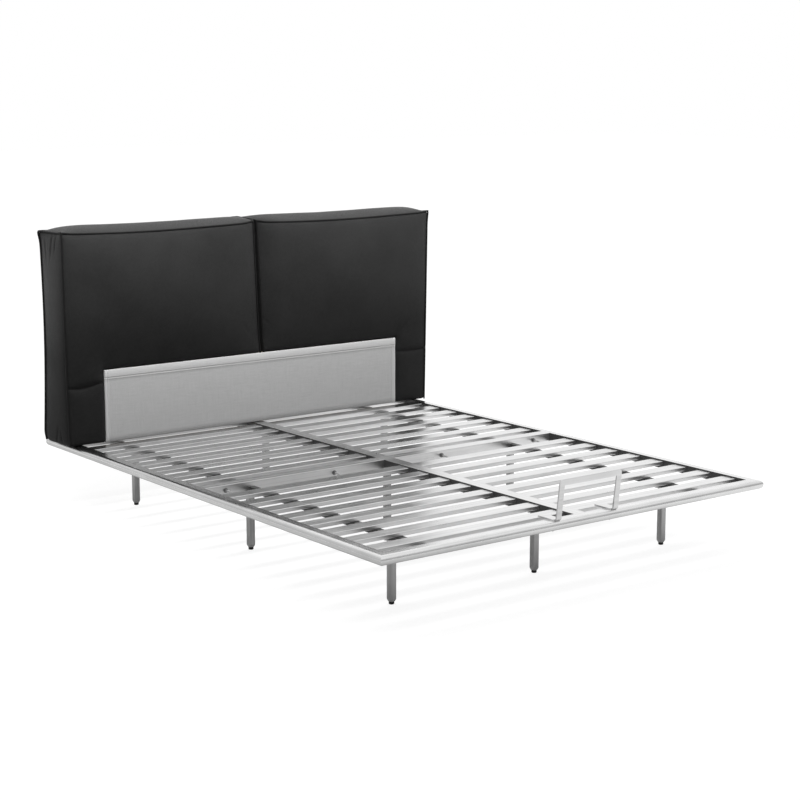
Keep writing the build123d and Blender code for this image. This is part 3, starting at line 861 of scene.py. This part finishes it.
def makeStaples():
    look = backLook
    bm = bmesh.new()
    spots = []
    count = int(2 * look["halfWidth"] / look["staple"])
    for k in range(count):
        x = -look["halfWidth"] + (k + 0.5) * 2 * look["halfWidth"] / count
        spots += [(x, look["lowZ"] + look["stapleIn"]), (x, look["highZ"] - look["stapleIn"])]
    size = Matrix.Diagonal((*look["stapleSize"], 1))
    for x, z in spots:
        made = bmesh.ops.create_cube(bm, size=1)
        place = Matrix.Translation((x, look["y"] + look["stapleOut"], z))
        bmesh.ops.transform(bm, matrix=place @ size, verts=made["verts"])
    edge = {"offset": look["stapleEdge"], "segments": 1, "profile": 0.5, "affect": "EDGES", "material": -1}
    bmesh.ops.bevel(bm, geom=bm.edges[:], **edge)
    return addPiece("backStaples", meshFrom(bm, "backStaples", False), zinc)


backCloth = makeBackCloth()
backStaples = makeStaples()
print("back made")


# studio: pale floor, white surround, soft lamps and the photograph's camera

studioLook = {
    "floor": 0.26, "floorSize": 30, "floorGlow": 0.81,
    "sheenLeft": 0.22, "sheenRight": 0.64, "sheenFar": 0.66, "paintedShadowUnder": 0.45, "bedHalf": (0.88, 1.15),
    "darkSide": 0.20, "rightSide": 0.45, "ceiling": 0.85, "leftSide": 0.55,
    "sun": 0.55, "sunSpread": 75.0, "sunSpot": (0.8, 0.9, 4.0),
    "strip": 66.0, "stripSize": (4.4, 0.5), "stripSpot": (0.0, 0.30, 1.85), "stripAim": (0.0, 0.9, 0.9),
}
cameraLook = {"lens": 81.26, "spot": (-4.1158, -5.5299, 1.7674), "tilt": 0.1830, "turn": -0.6482}


def makeFloor():
    look = studioLook
    bm = bmesh.new()
    bmesh.ops.create_grid(bm, x_segments=1, y_segments=1, size=look["floorSize"])
    mesh = meshFrom(bm, "floor", False)
    material, tree, shader, coords = startMaterial("paleFloor", Roughness=0.9)
    shader.inputs["Specular IOR Level"].default_value = 0.0
    shader.inputs["Base Color"].default_value = grey(look["floor"])
    shader.inputs["Emission Color"].default_value = grey(1.0)
    rays = put(tree, "ShaderNodeLightPath").outputs
    mirrored = calc(tree, "MAXIMUM", rays["Is Glossy Ray"], rays["Is Transmission Ray"])
    seen = calc(tree, "MULTIPLY", rays["Is Camera Ray"], look["floorGlow"])
    # mirrored, the floor glows with painted light and shade: a painted shadow under the bed, darker on the
    # left, and paler on the right and far off
    place = axesOf(tree, coords)
    around = ramp(tree, place["X"], -1.2, 1.2, look["sheenLeft"], look["sheenRight"])
    away = calc(tree, "MAXIMUM", place["X"], place["Y"])
    beyond = ramp(tree, away, 1.4, 4.2, look["sheenLeft"], look["sheenFar"])
    sideways = calc(tree, "SUBTRACT", calc(tree, "ABSOLUTE", place["X"]), look["bedHalf"][0])
    lengthways = calc(tree, "SUBTRACT", calc(tree, "ABSOLUTE", place["Y"]), look["bedHalf"][1])
    outside = calc(tree, "MAXIMUM", sideways, lengthways)
    under = ramp(tree, outside, -0.2, 0.05, look["paintedShadowUnder"], 1.0)
    sheen = calc(tree, "MULTIPLY", calc(tree, "MAXIMUM", around, beyond), under)
    seen = calc(tree, "ADD", seen, calc(tree, "MULTIPLY", mirrored, sheen))
    feed(tree, shader.inputs["Emission Strength"], seen)
    floor = bpy.data.objects.new("floor", mesh)
    mesh.materials.append(material)
    scene.collection.objects.link(floor)


def makeSurround():
    look = studioLook
    world = bpy.data.worlds.new("studio")
    scene.world = world
    world.use_nodes = True
    tree = world.node_tree
    tree.nodes.clear()
    rays = put(tree, "ShaderNodeLightPath").outputs
    toward = axesOf(tree, put(tree, "ShaderNodeTexCoord").outputs["Generated"])
    # the room is white behind the bed, pale overhead, dimmer on the right and left, and dark in front
    behind = ramp(tree, toward["Y"], -0.30, 0.20, look["darkSide"], 1.0)
    above = ramp(tree, toward["Z"], 0.16, 0.60, look["darkSide"], look["ceiling"])
    right = ramp(tree, toward["X"], 0.35, 0.70, look["darkSide"], look["rightSide"])
    room = calc(tree, "MAXIMUM", calc(tree, "MAXIMUM", behind, above), right)
    left = ramp(tree, toward["X"], -0.55, 0.05, look["leftSide"], 1.0)
    room = calc(tree, "MULTIPLY", room, left)
    strength = calc(tree, "MAXIMUM", room, rays["Is Camera Ray"])
    glow = put(tree, "ShaderNodeBackground", {"Color": grey(1.0), "Strength": strength})
    final = put(tree, "ShaderNodeOutputWorld")
    tree.links.new(glow.outputs[0], final.inputs["Surface"])


def addLamp(name, light, spot, aim):
    lamp = bpy.data.objects.new(name, light)
    lamp.location = spot
    lamp.rotation_euler = (Vector(aim) - Vector(spot)).to_track_quat("-Z", "Y").to_euler()
    lamp.visible_glossy = False
    scene.collection.objects.link(lamp)
    return lamp


def makeLamps():
    look = studioLook
    sun = bpy.data.lights.new("overhead", "SUN")
    sun.energy = look["sun"]
    sun.angle = radians(look["sunSpread"])
    addLamp("overhead", sun, look["sunSpot"], (0, 0, 0))
    strip = bpy.data.lights.new("strip", "AREA")
    strip.shape = "RECTANGLE"
    strip.size, strip.size_y = look["stripSize"]
    strip.energy = look["strip"]
    addLamp("strip", strip, look["stripSpot"], look["stripAim"]).visible_camera = False


def makeCamera():
    look = cameraLook
    lens = bpy.data.cameras.new("camera")
    lens.lens = look["lens"]
    lens.sensor_width = 36.0
    lens.clip_end = 200.0
    camera = bpy.data.objects.new("camera", lens)
    camera.location = look["spot"]
    camera.rotation_euler = (pi / 2 - look["tilt"], 0.0, look["turn"])
    scene.collection.objects.link(camera)
    scene.camera = camera


makeFloor()
makeSurround()
makeLamps()
makeCamera()
print("studio made")
